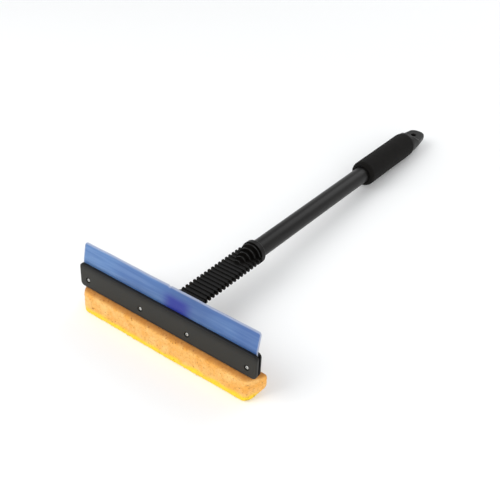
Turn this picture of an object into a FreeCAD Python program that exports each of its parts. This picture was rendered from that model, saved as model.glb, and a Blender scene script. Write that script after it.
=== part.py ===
"""Window washing tool: a squeegee blade and a sponge on one head, with a long handle.

Every sub-part is a PartDesign body drawn in the tool's own directions: X runs along the head,
Y along the handle from the head to the grip, and Z from the sponge up to the blade, with the
handle's axis on the Y axis and the clamp bar's front face at Y = 0. One placement then lays the
whole tool down as it rests: on the flat underside of its sponge and the far end of its grip.
"""

import FreeCAD, Part

import math
import os

import Sketcher

doc = FreeCAD.newDocument("window_washer")
sheet = doc.addObject("Spreadsheet::Sheet", "dims")

# Driving dimensions in millimetres: alias, value, what it measures.
DIMENSIONS = (
    ("bar_length", 240.0, "clamp bar, end to end"),
    ("bar_height", 29.5, "clamp bar, lower to upper edge"),
    ("bar_top", 14.2, "clamp bar's upper edge above the handle's axis"),
    ("bar_depth", 3.6, "clamp bar's thickness"),
    ("bar_corner", 5.0, "radius of the bars' corners seen from the front"),
    ("bar_edge", 1.4, "radius round the clamp bar's front face"),
    ("screw_inner", 32.0, "inner clamp screws, from the middle"),
    ("screw_outer", 108.3, "outer clamp screws, from the middle"),
    ("screw_drop", 4.9, "clamp screws below the handle's axis"),
    ("screw_shank", 1.1, "clamp screw's radius over its thread"),
    ("screw_head", 2.0, "clamp screw's head radius"),
    ("screw_head_rise", 1.3, "clamp screw's head height"),
    ("screw_reach", 10.2, "clamp screw's length under its head"),
    ("recess_radius", 3.2, "recess round a clamp screw's head"),
    ("recess_depth", 1.9, "depth of that recess"),
    ("blade_length", 234.0, "squeegee blade, end to end"),
    ("blade_depth", 1.8, "squeegee blade's thickness"),
    ("blade_foot", 12.0, "blade's lower edge below the handle's axis"),
    ("blade_bend", 15.5, "height at which the blade leaves the clamp and leans back"),
    ("blade_top", 38.0, "blade's wiping edge above the handle's axis"),
    ("blade_lean", 0.2, "how far the blade leans back for each millimetre it rises"),
    ("blade_corner", 3.0, "radius of the blade's two upper corners"),
    ("strip_length", 226.0, "sponge's carrier strip, end to end"),
    ("strip_depth", 1.0, "carrier strip's thickness"),
    ("strip_top", 3.0, "carrier strip's upper edge above the handle's axis"),
    ("strip_foot", 29.0, "carrier strip's lower edge below the handle's axis"),
    ("sponge_length", 246.0, "sponge, end to end at its back"),
    ("sponge_front_length", 222.0, "sponge, end to end at its front"),
    ("sponge_top", 16.3, "sponge's upper face below the handle's axis"),
    ("sponge_drop", 45.7, "flat underside of the sponge below the handle's axis"),
    ("sponge_middle", -1.5, "middle of the flat part of the sponge's underside"),
    ("sponge_front", 4.8, "sponge's upper front edge ahead of the bar's front face"),
    ("sponge_toe", 5.5, "sponge's lower front edge ahead of the bar's front face"),
    ("sponge_back", 17.6, "sponge's back face behind the bar's front face"),
    ("sponge_heel_run", 15.0, "depth of the slope under the sponge's back"),
    ("sponge_heel_rise", 12.0, "height of that slope"),
    ("sponge_round", 4.5, "radius of the sponge's edges"),
    ("sponge_gap", 0.1, "room between the sponge and its carrier strip"),
    ("plate_depth", 2.4, "rear bar's thickness"),
    ("boss_radius", 3.2, "screw boss on the rear bar"),
    ("boss_rise", 4.6, "screw boss's height behind the rear bar"),
    ("pilot_depth", 3.9, "depth of a screw's pilot hole inside its boss"),
    ("rib_reach", 104.0, "half the length of the rear bar's edge ribs"),
    ("rib_rise", 5.0, "height of the edge ribs at the middle of the bar"),
    ("rib_width", 2.0, "thickness of the edge ribs"),
    ("web_reach", 66.0, "half the width of the neck's web where it meets the rear bar"),
    ("web_thickness", 3.6, "thickness of the neck's web"),
    ("neck_core", 13.4, "half the width of the web between the neck's ribs"),
    ("web_end", 42.0, "place along the handle where the web has narrowed to the neck"),
    ("fin_first", 18.9, "place of the first neck rib"),
    ("fin_pitch", 6.2, "spacing of the neck ribs"),
    ("fin_count", 22.0, "number of neck ribs"),
    ("fin_half_width", 17.3, "half the width of a neck rib"),
    ("fin_height", 5.6, "height of a neck rib"),
    ("fin_corner", 1.6, "radius of a neck rib's corners"),
    ("fin_depth", 1.6, "thickness of a neck rib"),
    ("ring_groove", 2.4, "depth of the grooves between the round ribs at the collar"),
    ("collar_start", 153.0, "place of the collar that holds the tube"),
    ("collar_depth", 7.5, "length of the collar"),
    ("collar_radius", 14.7, "collar's outer radius"),
    ("collar_edge", 2.2, "radius round the collar's rear edge"),
    ("socket_depth", 5.0, "how far the tube goes into the collar"),
    ("spigot_reach", 36.0, "length of the neck's spigot inside the tube"),
    ("tube_radius", 11.0, "handle tube's outer radius"),
    ("tube_wall", 1.0, "handle tube's wall"),
    ("slip", 0.05, "radial room of what is pushed into the tube or over it"),
    ("lock_place", 180.0, "place of the screw that locks the tube to the spigot"),
    ("lock_shank", 1.6, "lock screw's radius over its thread"),
    ("lock_head", 3.0, "lock screw's head radius"),
    ("lock_head_rise", 2.0, "lock screw's head height"),
    ("lock_reach", 8.0, "lock screw's length under its head"),
    ("grip_start", 397.5, "place of the foam grip's front end"),
    ("grip_end", 515.0, "place of the foam grip's rear end"),
    ("grip_radius", 17.2, "foam grip's outer radius"),
    ("grip_nose", 5.2, "radius round the grip's front end"),
    ("grip_tail", 4.0, "radius round the grip's rear end"),
    ("cap_flange", 15.6, "end cap's radius against the grip"),
    ("cap_nose", 10.8, "half the tongue's width at its tip, before rounding"),
    ("cap_nose_round", 10.0, "radius of the tongue's tip"),
    ("cap_side_round", 60.0, "radius where the tongue starts to narrow"),
    ("cap_slope_start", 519.0, "place where the cap starts to flatten"),
    ("cap_seat", 515.2, "place of the end cap's shoulder behind the grip"),
    ("cap_tip", 560.5, "place of the end cap's tip"),
    ("cap_shoulder", 534.0, "place where the cap's tongue starts to narrow"),
    ("cap_shoulder_radius", 15.2, "half the tongue's width there"),
    ("cap_flat_start", 533.0, "place where the tongue reaches its full flatness"),
    ("tab_thickness", 9.0, "thickness of the flat tongue"),
    ("tab_edge", 2.0, "radius round the tongue's edges"),
    ("plug_radius", 9.4, "radius of the cap's plug between its barbs"),
    ("plug_start", 492.0, "place of the plug's inner end"),
    ("barb_count", 4.0, "number of barbs round the plug"),
    ("barb_pitch", 5.0, "spacing of the barbs"),
    ("hang_place", 543.0, "place of the hanging hole"),
    ("hang_radius", 3.6, "hanging hole's radius"),
)


# How many of the neck's ribs are round, counted from the collar.
RING_COUNT = 5


class Size:
    """A length that keeps both its number and the formula that gives it from the sheet."""

    def __init__(self, value, formula):
        self.value = value
        self.formula = formula

    def joined(self, other, sign, value):
        other_formula = other.formula if isinstance(other, Size) else repr(float(other))
        return Size(value, f"({self.formula} {sign} {other_formula})")

    def __add__(self, other):
        return self.joined(other, "+", self.value + number(other))

    def __sub__(self, other):
        return self.joined(other, "-", self.value - number(other))

    def __mul__(self, other):
        return self.joined(other, "*", self.value * number(other))

    def __truediv__(self, other):
        return self.joined(other, "/", self.value / number(other))

    def __neg__(self):
        return self * -1


def number(size):
    """The plain number of a Size or of a number."""
    return size.value if isinstance(size, Size) else float(size)


class Sizes:
    """The sheet's dimensions by name, each as a Size."""


def fill_sheet():
    """Writes the dimensions into the sheet and returns them by name."""
    sizes = Sizes()
    for row, (alias, value, note) in enumerate(DIMENSIONS, start=1):
        sheet.set(f"A{row}", alias)
        sheet.set(f"B{row}", str(value))
        sheet.set(f"C{row}", note)
        sheet.setAlias(f"B{row}", alias)
        setattr(sizes, alias, Size(value, f"dims.{alias}"))
    doc.recompute()
    return sizes


d = fill_sheet()
ZERO = Size(0.0, "0.0")

# Places along Y that the pieces share: the head is a stack of bar, blade, strip and rear bar.
blade_face = d.bar_depth
strip_face = blade_face + d.blade_depth
plate_face = strip_face + d.strip_depth
plate_rear = plate_face + d.plate_depth
bar_foot = d.bar_top - d.bar_height
collar_end = d.collar_start + d.collar_depth
tube_start = collar_end - d.socket_depth
bore_radius = d.tube_radius - d.tube_wall

# The ground touches the grip's rear end and the sponge, so in the tool's own directions it
# is a gentle slope, and the sponge's underside is cut to it.
grip_touch = d.grip_end - d.grip_tail
ground_slope = (d.sponge_drop - d.grip_radius) / (grip_touch - d.sponge_middle)


def ground(along):
    """Height of the ground under a place along the handle, in the tool's own directions."""
    return (along - d.sponge_middle) * ground_slope - d.sponge_drop


def new_body(label):
    """A new body whose label names its file."""
    body = doc.addObject("PartDesign::Body", label)
    body.Label = label
    return body


def origin_feature(body, role):
    """One of the body's own origin planes or axes."""
    return next(item for item in body.Origin.OriginFeatures if item.Role == role)


def new_sketch(body, name, plane, offset=ZERO):
    """A sketch on an origin plane of its body, moved along that plane's normal."""
    sketch = body.newObject("Sketcher::SketchObject", name)
    sketch.AttachmentSupport = [(origin_feature(body, plane), "")]
    sketch.MapMode = "FlatFace"
    sketch.AttachmentOffset = FreeCAD.Placement(
        FreeCAD.Vector(0, 0, offset.value), FreeCAD.Rotation()
    )
    sketch.setExpression("AttachmentOffset.Base.z", offset.formula)
    return sketch


def bind(sketch, kind, values, size):
    """Adds a dimension constraint and binds it to the size's formula."""
    index = sketch.addConstraint(Sketcher.Constraint(kind, *values, number(size)))
    sketch.setExpression(f"Constraints[{index}]", size.formula)


def pin_point(sketch, geometry, end, point):
    """Holds one point of the sketch at its two sizes from the origin."""
    bind(sketch, "DistanceX", (-1, 1, geometry, end), point[0])
    bind(sketch, "DistanceY", (-1, 1, geometry, end), point[1])


def vector(point):
    return FreeCAD.Vector(number(point[0]), number(point[1]), 0)


def draw_polygon(sketch, corners):
    """A closed outline of straight lines through the corners."""
    first = sketch.GeometryCount
    count = len(corners)
    for index, corner in enumerate(corners):
        following = corners[(index + 1) % count]
        sketch.addGeometry(Part.LineSegment(vector(corner), vector(following)))
    for index in range(count):
        following = first + (index + 1) % count
        sketch.addConstraint(Sketcher.Constraint("Coincident", first + index, 2, following, 1))
        pin_point(sketch, first + index, 1, corners[index])


def draw_rectangle(sketch, low, high):
    draw_polygon(sketch, (low, (high[0], low[1]), high, (low[0], high[1])))


def draw_circle(sketch, centre, radius):
    up = FreeCAD.Vector(0, 0, 1)
    index = sketch.addGeometry(Part.Circle(vector(centre), up, number(radius)))
    pin_point(sketch, index, 3, centre)
    bind(sketch, "Radius", (index,), radius)


def draw_rounded_rectangle(sketch, low, high, radius):
    """A rectangle whose four corners are equal arcs, tangent to its sides."""
    left, foot, right, top = (number(size) for size in (*low, *high))
    corner = number(radius)
    middle_x, middle_y = (left + right) / 2, (foot + top) / 2
    first = sketch.GeometryCount
    side_x, side_y = right - middle_x, top - middle_y
    for quarter in range(4):
        turned = FreeCAD.Rotation(FreeCAD.Vector(0, 0, 1), 90.0 * quarter)
        along, across = (side_x, side_y) if quarter % 2 == 0 else (side_y, side_x)
        centre = FreeCAD.Vector(middle_x, middle_y, 0)
        start = FreeCAD.Vector(-along + corner, -across, 0)
        end = FreeCAD.Vector(along - corner, -across, 0)
        hub = FreeCAD.Vector(along - corner, -across + corner, 0)
        line = (centre + turned.multVec(start), centre + turned.multVec(end))
        sketch.addGeometry(Part.LineSegment(*line))
        circle = Part.Circle(centre + turned.multVec(hub), FreeCAD.Vector(0, 0, 1), corner)
        begin = math.radians(90.0 * (quarter - 1))
        sketch.addGeometry(Part.ArcOfCircle(circle, begin, begin + math.pi / 2))
    for quarter in range(4):
        line = first + 2 * quarter
        arc = line + 1
        following = first + (2 * quarter + 2) % 8
        sketch.addConstraint(Sketcher.Constraint("Tangent", line, 2, arc, 1))
        sketch.addConstraint(Sketcher.Constraint("Tangent", arc, 2, following, 1))
        flat = "Horizontal" if quarter % 2 == 0 else "Vertical"
        sketch.addConstraint(Sketcher.Constraint(flat, line))
        bind(sketch, "Radius", (arc,), radius)
        distance = "DistanceY" if quarter % 2 == 0 else "DistanceX"
        size = (low[1], high[0], high[1], low[0])[quarter]
        bind(sketch, distance, (-1, 1, line, 1), size)


def draw_cross(sketch, centre, reach):
    """A screwdriver's cross: two equal bars across each other."""
    arm = reach / 3.5
    steps = (
        (reach, -arm),
        (reach, arm),
        (arm, arm),
        (arm, reach),
        (-arm, reach),
        (-arm, arm),
        (-reach, arm),
        (-reach, -arm),
        (-arm, -arm),
        (-arm, -reach),
        (arm, -reach),
        (arm, -arm),
    )
    draw_polygon(sketch, [(centre[0] + right, centre[1] + up) for right, up in steps])


def pad(body, sketch, length, reverse=False, both=False):
    """Raises a sketch by a length, to one side or half to each side."""
    feature = body.newObject("PartDesign::Pad", f"{sketch.Name}_pad")
    feature.Profile = sketch
    feature.Length = number(length)
    feature.setExpression("Length", length.formula)
    feature.Reversed = reverse
    if both:
        feature.SideType = "Symmetric"
    doc.recompute()
    return feature


def cut(body, sketch, length, reverse=False, both=False):
    """Cuts a sketch into the body and checks that material really went."""
    before = body.Shape.Volume
    feature = body.newObject("PartDesign::Pocket", f"{sketch.Name}_cut")
    feature.Profile = sketch
    feature.Length = number(length)
    feature.setExpression("Length", length.formula)
    feature.Reversed = reverse
    if both:
        feature.SideType = "Symmetric"
    doc.recompute()
    if body.Shape.Volume >= before:
        raise ValueError(f"{sketch.Name} cuts nothing")
    return feature


def turn(body, sketch, kind="PartDesign::Revolution"):
    """Turns a sketch once round its own horizontal or vertical axis through the origin."""
    feature = body.newObject(kind, f"{sketch.Name}_turn")
    feature.Profile = sketch
    feature.ReferenceAxis = (sketch, ["H_Axis"])
    feature.Angle = 360.0
    doc.recompute()
    return feature


def repeat(body, feature, pitch, count):
    """Repeats a feature along the handle at one pitch."""
    pattern = body.newObject("PartDesign::LinearPattern", f"{feature.Name}_row")
    body.Tip = pattern
    pattern.Originals = [feature]
    pattern.Direction = (origin_feature(body, "Y_Axis"), [""])
    pattern.Mode = "Spacing"
    pattern.Offset = pitch.value
    pattern.Occurrences = round(count.value)
    pattern.setExpression("Offset", pitch.formula)
    pattern.setExpression("Occurrences", count.formula)
    doc.recompute()
    return pattern


def round_edges(body, radius, wanted, kind="PartDesign::Fillet"):
    """Rounds every edge of the body for which wanted(edge) holds."""
    tip = body.Tip
    names = [f"Edge{i}" for i, edge in enumerate(tip.Shape.Edges, start=1) if wanted(edge)]
    if not names:
        raise ValueError(f"{body.Label} has no such edge")
    feature = body.newObject(kind, f"{body.Name}_round")
    feature.Base = (tip, names)
    feature.Radius = number(radius)
    feature.setExpression("Radius", radius.formula)
    doc.recompute()
    return feature


def near(value, size):
    return abs(value - number(size)) < 0.01


def runs_along(edge, axis):
    """Whether a straight edge runs along an axis, given as 0, 1 or 2."""
    if edge.Curve.TypeId != "Part::GeomLine":
        return False
    direction = edge.Curve.Direction
    return abs(abs(direction[axis]) - 1.0) < 1e-6


def is_round(edge, radius):
    """Whether an edge is a circle of a given radius."""
    curve = edge.Curve
    return curve.TypeId == "Part::GeomCircle" and near(curve.Radius, radius)


def lies_at(edge, axis, place):
    """Whether the whole edge lies in the plane across an axis at a place."""
    box = edge.BoundBox
    low, high = ((box.XMin, box.XMax), (box.YMin, box.YMax), (box.ZMin, box.ZMax))[axis]
    return near(low, place) and near(high, place)


def screw_places():
    """Where the four clamp screws stand along the head, from left to right."""
    return (-d.screw_outer, -d.screw_inner, d.screw_inner, d.screw_outer)


def cut_screw_holes(body, name, radius, start, length):
    """Cuts the four clamp screws' holes, from a place towards the handle."""
    sketch = new_sketch(body, name, "XZ_Plane", -start)
    for place in screw_places():
        draw_circle(sketch, (place, -d.screw_drop), radius)
    cut(body, sketch, length)


def make_front_bar():
    """The moulded bar whose face shows at the front, with recessed screw holes."""
    body = new_body("front_clamp_bar")
    sketch = new_sketch(body, "bar_outline", "XZ_Plane")
    half = d.bar_length / 2
    draw_rectangle(sketch, (-half, bar_foot), (half, d.bar_top))
    pad(body, sketch, d.bar_depth, reverse=True)
    round_edges(body, d.bar_corner, lambda edge: runs_along(edge, 1))
    round_edges(body, d.bar_edge, lambda edge: lies_at(edge, 1, ZERO))
    cut_screw_holes(body, "bar_recesses", d.recess_radius, ZERO, d.recess_depth)
    cut_screw_holes(body, "bar_holes", d.screw_shank + 0.2, ZERO, d.bar_depth * 2)
    return body


def make_blade():
    """The rubber strip: held flat in the clamp, then leaning back to its wiping edge."""
    body = new_body("squeegee_blade")
    sketch = new_sketch(body, "blade_profile", "YZ_Plane")
    lean = (d.blade_top - d.blade_bend) * d.blade_lean
    back = blade_face + d.blade_depth
    draw_polygon(
        sketch,
        (
            (blade_face, -d.blade_foot),
            (back, -d.blade_foot),
            (back, d.blade_bend),
            (back + lean, d.blade_top),
            (blade_face + lean, d.blade_top),
            (blade_face, d.blade_bend),
        ),
    )
    pad(body, sketch, d.blade_length, both=True)
    end = d.blade_length / 2
    bend_radius = d.blade_top - d.blade_bend
    round_edges(
        body,
        bend_radius,
        lambda edge: runs_along(edge, 0) and lies_at(edge, 2, d.blade_bend),
    )
    round_edges(
        body,
        d.blade_corner,
        lambda edge: lies_at(edge, 2, d.blade_top)
        and (lies_at(edge, 0, end) or lies_at(edge, 0, -end)),
    )
    cut_screw_holes(body, "blade_holes", d.screw_shank + 0.3, ZERO, d.bar_depth * 2)
    return body


def make_carrier_strip():
    """The thin strip glued into the sponge, which the screws clamp behind the blade."""
    body = new_body("sponge_carrier_strip")
    sketch = new_sketch(body, "strip_outline", "XZ_Plane", -strip_face)
    half = d.strip_length / 2
    draw_rectangle(sketch, (-half, -d.strip_foot), (half, d.strip_top))
    pad(body, sketch, d.strip_depth, reverse=True)
    cut_screw_holes(body, "strip_holes", d.screw_shank + 0.3, ZERO, plate_rear)
    return body


def make_sponge():
    """The cellulose sponge: proud of the bar, wider at its back and sloping up underneath."""
    body = new_body("sponge")
    heel = d.sponge_back - d.sponge_heel_run
    sketch = new_sketch(body, "sponge_profile", "YZ_Plane")
    draw_polygon(
        sketch,
        (
            (-d.sponge_front, -d.sponge_top),
            (-d.sponge_toe, ground(-d.sponge_toe)),
            (heel, ground(heel)),
            (d.sponge_back, ground(d.sponge_back) + d.sponge_heel_rise),
            (d.sponge_back, -d.sponge_top),
        ),
    )
    pad(body, sketch, d.sponge_length, both=True)
    wide = d.sponge_length / 2
    narrow = d.sponge_front_length / 2
    margin = d.sponge_round * 2
    for name, side in (("left_end", -1.0), ("right_end", 1.0)):
        end = new_sketch(body, f"sponge_{name}", "XY_Plane")
        draw_polygon(
            end,
            (
                (narrow * side, -d.sponge_toe - margin),
                ((wide + margin) * side, -d.sponge_toe - margin),
                ((wide + margin) * side, d.sponge_back),
                (wide * side, d.sponge_back),
                (narrow * side, -d.sponge_toe),
            ),
        )
        cut(body, end, d.sponge_drop * 3, both=True)
    round_edges(body, d.sponge_round, lambda edge: True)
    slit = new_sketch(body, "sponge_slit", "XY_Plane", -d.sponge_top)
    half = d.strip_length / 2 + d.sponge_gap
    draw_rectangle(
        slit,
        (-half, strip_face - d.sponge_gap),
        (half, plate_face + d.sponge_gap),
    )
    cut(body, slit, d.strip_foot - d.sponge_top + d.sponge_gap)
    return body


def add_rear_bar(body):
    """The rear bar, with its corners rounded like the clamp bar's."""
    sketch = new_sketch(body, "rear_bar_outline", "XZ_Plane", -plate_face)
    half = d.bar_length / 2 - 0.4
    draw_rectangle(sketch, (-half, bar_foot), (half, d.bar_top))
    pad(body, sketch, d.plate_depth, reverse=True)
    round_edges(body, d.bar_corner, lambda edge: runs_along(edge, 1))
    round_edges(body, d.plate_depth / 3, lambda edge: lies_at(edge, 1, plate_rear))


def add_edge_ribs(body):
    """A rib behind each long edge of the rear bar, highest in the middle."""
    sunk = plate_rear - 1.0
    crest = plate_rear + d.rib_rise
    for name, foot in (
        ("upper_rib", d.bar_top - d.rib_width - 1.0),
        ("lower_rib", bar_foot + 1.0),
    ):
        sketch = new_sketch(body, name, "XY_Plane", foot)
        draw_polygon(
            sketch,
            (
                (-d.rib_reach, sunk),
                (d.rib_reach, sunk),
                (d.web_reach / 2, crest),
                (-d.web_reach / 2, crest),
            ),
        )
        pad(body, sketch, d.rib_width)


def add_web(body):
    """The flat web: wide on the rear bar, narrowing into the neck's core."""
    sketch = new_sketch(body, "web_outline", "XY_Plane")
    sunk = plate_rear - 1.0
    draw_polygon(
        sketch,
        (
            (-d.web_reach, sunk),
            (d.web_reach, sunk),
            (d.web_reach, plate_rear),
            (d.neck_core, d.web_end),
            (d.neck_core, d.collar_start + 1.0),
            (-d.neck_core, d.collar_start + 1.0),
            (-d.neck_core, d.web_end),
            (-d.web_reach, plate_rear),
        ),
    )
    pad(body, sketch, d.web_thickness, both=True)
    round_edges(
        body,
        d.web_end - plate_rear,
        lambda edge: runs_along(edge, 2) and lies_at(edge, 1, d.web_end),
    )


def add_fins(body):
    """The neck's thin upright ribs, one pattern along the handle."""
    sketch = new_sketch(body, "fin_outline", "XZ_Plane", -d.fin_first)
    half = d.fin_height / 2
    low = (-d.fin_half_width, -half)
    draw_rounded_rectangle(sketch, low, (d.fin_half_width, half), d.fin_corner)
    fin = pad(body, sketch, d.fin_depth, reverse=True)
    repeat(body, fin, d.fin_pitch, d.fin_count)


def add_neck_rings(body):
    """The last ribs before the collar turn round, each one larger than the one before."""
    sketch = new_sketch(body, "ring_profile", "YZ_Plane")
    last = round(d.fin_count.value)
    flat = d.fin_height / 2
    start = d.fin_first + d.fin_pitch * (last - RING_COUNT)
    corners = [(start, ZERO)]
    for ring in range(RING_COUNT):
        front = start + d.fin_pitch * ring
        share = (ring + 1.0) / (RING_COUNT + 0.5)
        crest = flat + (d.collar_radius - flat) * share
        corners += [
            (front, crest),
            (front + d.fin_depth, crest),
            (front + d.fin_depth, crest - d.ring_groove),
            (front + d.fin_pitch, crest - d.ring_groove),
        ]
    corners.append((corners[-1][0], ZERO))
    draw_polygon(sketch, corners)
    turn(body, sketch)


def add_collar(body):
    """The collar with its cup for the tube, and the spigot inside the tube."""
    sketch = new_sketch(body, "collar_profile", "YZ_Plane")
    cup = d.tube_radius + d.slip
    spigot = bore_radius - d.slip
    spigot_end = tube_start + d.spigot_reach
    draw_polygon(
        sketch,
        (
            (d.collar_start, ZERO),
            (d.collar_start, d.collar_radius),
            (collar_end, d.collar_radius),
            (collar_end, cup),
            (tube_start, cup),
            (tube_start, spigot),
            (spigot_end, spigot),
            (spigot_end, ZERO),
        ),
    )
    turn(body, sketch)
    round_edges(
        body,
        d.collar_edge,
        lambda edge: lies_at(edge, 1, collar_end) and near(edge.BoundBox.ZMax, d.collar_radius),
    )
    round_edges(body, d.slip * 20, lambda edge: lies_at(edge, 1, spigot_end))


def make_rear_head():
    """One moulding: rear bar, screw bosses, web, ribbed neck, collar and spigot."""
    body = new_body("rear_head_moulding")
    add_rear_bar(body)
    add_edge_ribs(body)
    bosses = new_sketch(body, "boss_outlines", "XZ_Plane", -plate_rear + 0.5)
    for place in screw_places():
        draw_circle(bosses, (place, -d.screw_drop), d.boss_radius)
    pad(body, bosses, d.boss_rise + 0.5, reverse=True)
    add_web(body)
    add_fins(body)
    add_neck_rings(body)
    add_collar(body)
    pilot = d.plate_depth + d.pilot_depth
    cut_screw_holes(body, "pilot_holes", d.screw_shank + d.slip, plate_face, pilot)
    lock = new_sketch(body, "lock_pilot", "XY_Plane", d.lock_reach - d.tube_radius + 0.4)
    draw_circle(lock, (ZERO, d.lock_place), d.lock_shank + d.slip)
    cut(body, lock, d.lock_reach)
    return body


def make_clamp_screws():
    """Four self-tapping pan-head screws with cross recesses, one solid each."""
    body = new_body("clamp_screws")
    body.AllowCompound = True
    seat = d.recess_depth
    for name, radius, length, backwards in (
        ("screw_shanks", d.screw_shank, d.screw_reach, True),
        ("screw_heads", d.screw_head, d.screw_head_rise, False),
    ):
        sketch = new_sketch(body, name, "XZ_Plane", -seat)
        for place in screw_places():
            draw_circle(sketch, (place, -d.screw_drop), radius)
        pad(body, sketch, length, reverse=backwards)
    crown = seat - d.screw_head_rise
    tip = seat + d.screw_reach
    round_edges(body, d.screw_head_rise / 2, lambda edge: lies_at(edge, 1, crown))
    round_edges(body, d.screw_shank / 1.5, lambda edge: lies_at(edge, 1, tip))
    sketch = new_sketch(body, "screw_crosses", "XZ_Plane", -crown)
    for place in screw_places():
        draw_cross(sketch, (place, -d.screw_drop), d.screw_head / 2)
    cut(body, sketch, d.screw_head_rise / 2)
    return body


def make_tube():
    """The drawn tube of the handle, drilled once from below for its lock screw."""
    body = new_body("handle_tube")
    sketch = new_sketch(body, "tube_section", "XZ_Plane", -tube_start)
    for radius in (d.tube_radius, bore_radius):
        draw_circle(sketch, (ZERO, ZERO), radius)
    pad(body, sketch, d.grip_end - tube_start, reverse=True)
    hole = new_sketch(body, "tube_hole", "XY_Plane")
    draw_circle(hole, (ZERO, d.lock_place), d.lock_shank + 0.2)
    cut(body, hole, d.tube_radius * 2)
    return body


def make_lock_screw():
    """The screw that keeps the tube on the head's spigot, driven from below."""
    body = new_body("tube_lock_screw")
    for name, radius, length, downwards in (
        ("lock_shank_outline", d.lock_shank, d.lock_reach, False),
        ("lock_head_outline", d.lock_head, d.lock_head_rise, True),
    ):
        sketch = new_sketch(body, name, "XY_Plane", -d.tube_radius)
        draw_circle(sketch, (ZERO, d.lock_place), radius)
        pad(body, sketch, length, reverse=downwards)
    crown = -(d.tube_radius + d.lock_head_rise)
    tip = d.lock_reach - d.tube_radius
    round_edges(body, d.lock_head_rise / 2, lambda edge: lies_at(edge, 2, crown))
    round_edges(body, d.lock_shank / 1.5, lambda edge: lies_at(edge, 2, tip))
    sketch = new_sketch(body, "lock_cross", "XY_Plane", crown)
    draw_cross(sketch, (ZERO, d.lock_place), d.lock_head / 2)
    cut(body, sketch, d.lock_head_rise / 2, reverse=True)
    return body


def make_grip():
    """The foam sleeve round the handle's end, with both ends rounded."""
    body = new_body("foam_grip")
    sketch = new_sketch(body, "grip_profile", "YZ_Plane")
    low = (d.grip_start, d.tube_radius + d.slip)
    draw_rectangle(sketch, low, (d.grip_end, d.grip_radius))
    turn(body, sketch)
    for radius, place in ((d.grip_nose, d.grip_start), (d.grip_tail, d.grip_end)):
        round_edges(
            body,
            radius,
            lambda edge: lies_at(edge, 1, place) and near(edge.BoundBox.ZMax, d.grip_radius),
        )
    return body


def add_plug(body):
    """The plug inside the tube, with soft barbs that hold it there."""
    sketch = new_sketch(body, "plug_profile", "YZ_Plane")
    draw_rectangle(sketch, (d.plug_start, ZERO), (d.cap_seat + 1.0, d.plug_radius))
    turn(body, sketch)
    first = d.plug_start + 1.0
    sketch = new_sketch(body, "barb_profile", "YZ_Plane")
    crest = bore_radius - d.slip
    draw_polygon(
        sketch,
        (
            (first, d.plug_radius - 0.5),
            (first, d.plug_radius),
            (first + 2.0, crest),
            (first + 2.5, crest),
            (first + 2.5, d.plug_radius - 0.5),
        ),
    )
    barb = turn(body, sketch)
    repeat(body, barb, d.barb_pitch, d.barb_count)


def make_end_cap():
    """The end cap: round at the grip, flattening into a tongue with a hanging hole."""
    body = new_body("hanging_end_cap")
    sketch = new_sketch(body, "cap_profile", "YZ_Plane")
    draw_polygon(
        sketch,
        (
            (d.cap_seat, ZERO),
            (d.cap_seat, d.cap_flange),
            (d.cap_slope_start, d.cap_flange),
            (d.cap_shoulder, d.cap_shoulder_radius),
            (d.cap_tip, d.cap_nose),
            (d.cap_tip, ZERO),
        ),
    )
    turn(body, sketch)
    round_edges(body, d.cap_nose_round, lambda edge: lies_at(edge, 1, d.cap_tip))
    round_edges(body, d.cap_side_round, lambda edge: lies_at(edge, 1, d.cap_shoulder))
    flats = new_sketch(body, "tongue_flats", "YZ_Plane")
    beyond = d.cap_tip + 5.0
    half = d.tab_thickness / 2
    for side in (1.0, -1.0):
        outside = (d.cap_flange + 2.0) * side
        draw_polygon(
            flats,
            (
                (d.cap_slope_start, outside),
                (d.cap_slope_start, d.cap_flange * side),
                (d.cap_flat_start, half * side),
                (beyond, half * side),
                (beyond, outside),
            ),
        )
    cut(body, flats, d.cap_flange * 3, both=True)
    round_edges(
        body,
        d.cap_flange - half,
        lambda edge: runs_along(edge, 0) and lies_at(edge, 1, d.cap_flat_start),
    )
    hole = new_sketch(body, "hang_hole", "XY_Plane")
    draw_circle(hole, (ZERO, d.hang_place), d.hang_radius)
    cut(body, hole, d.cap_flange * 3, both=True)

    def on_a_flat(edge):
        return lies_at(edge, 2, half) or lies_at(edge, 2, -half)

    rim = d.tab_edge / 2
    round_edges(body, rim, lambda edge: on_a_flat(edge) and is_round(edge, d.hang_radius))
    start = number(d.cap_flat_start) + 1.0
    round_edges(
        body,
        d.tab_edge,
        lambda edge: on_a_flat(edge)
        and not runs_along(edge, 0)
        and edge.BoundBox.YMax > start
        and not is_round(edge, d.hang_radius + rim),
    )
    add_plug(body)
    return body


SOLIDS_PER_NODE = {"clamp_screws": 4}


def lay_down(bodies):
    """Places the finished tool as it rests, its footprint centred on the origin."""
    lean = FreeCAD.Rotation(FreeCAD.Vector(1, 0, 0), -math.degrees(math.atan(ground_slope.value)))
    for body in bodies:
        body.Placement = FreeCAD.Placement(FreeCAD.Vector(), lean)
    doc.recompute()
    box = FreeCAD.BoundBox()
    for body in bodies:
        box.add(body.Shape.optimalBoundingBox(False, False))
    shift = FreeCAD.Vector(-box.Center.x, -box.Center.y, -box.ZMin)
    for body in bodies:
        body.Placement = FreeCAD.Placement(shift, lean)
    doc.recompute()


def check_shapes(bodies):
    """Stops the build if any object failed or any node is not its sound solids."""
    for item in doc.Objects:
        if "Invalid" in item.State or "Error" in item.State:
            raise ValueError(f"{item.Label}: {item.State}")
    for body in bodies:
        shape = body.Shape
        expected = SOLIDS_PER_NODE.get(body.Label, 1)
        if shape.isNull() or not shape.isValid() or len(shape.Solids) != expected:
            raise ValueError(f"{body.Label}: {len(shape.Solids)} solids, not {expected} sound ones")


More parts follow.
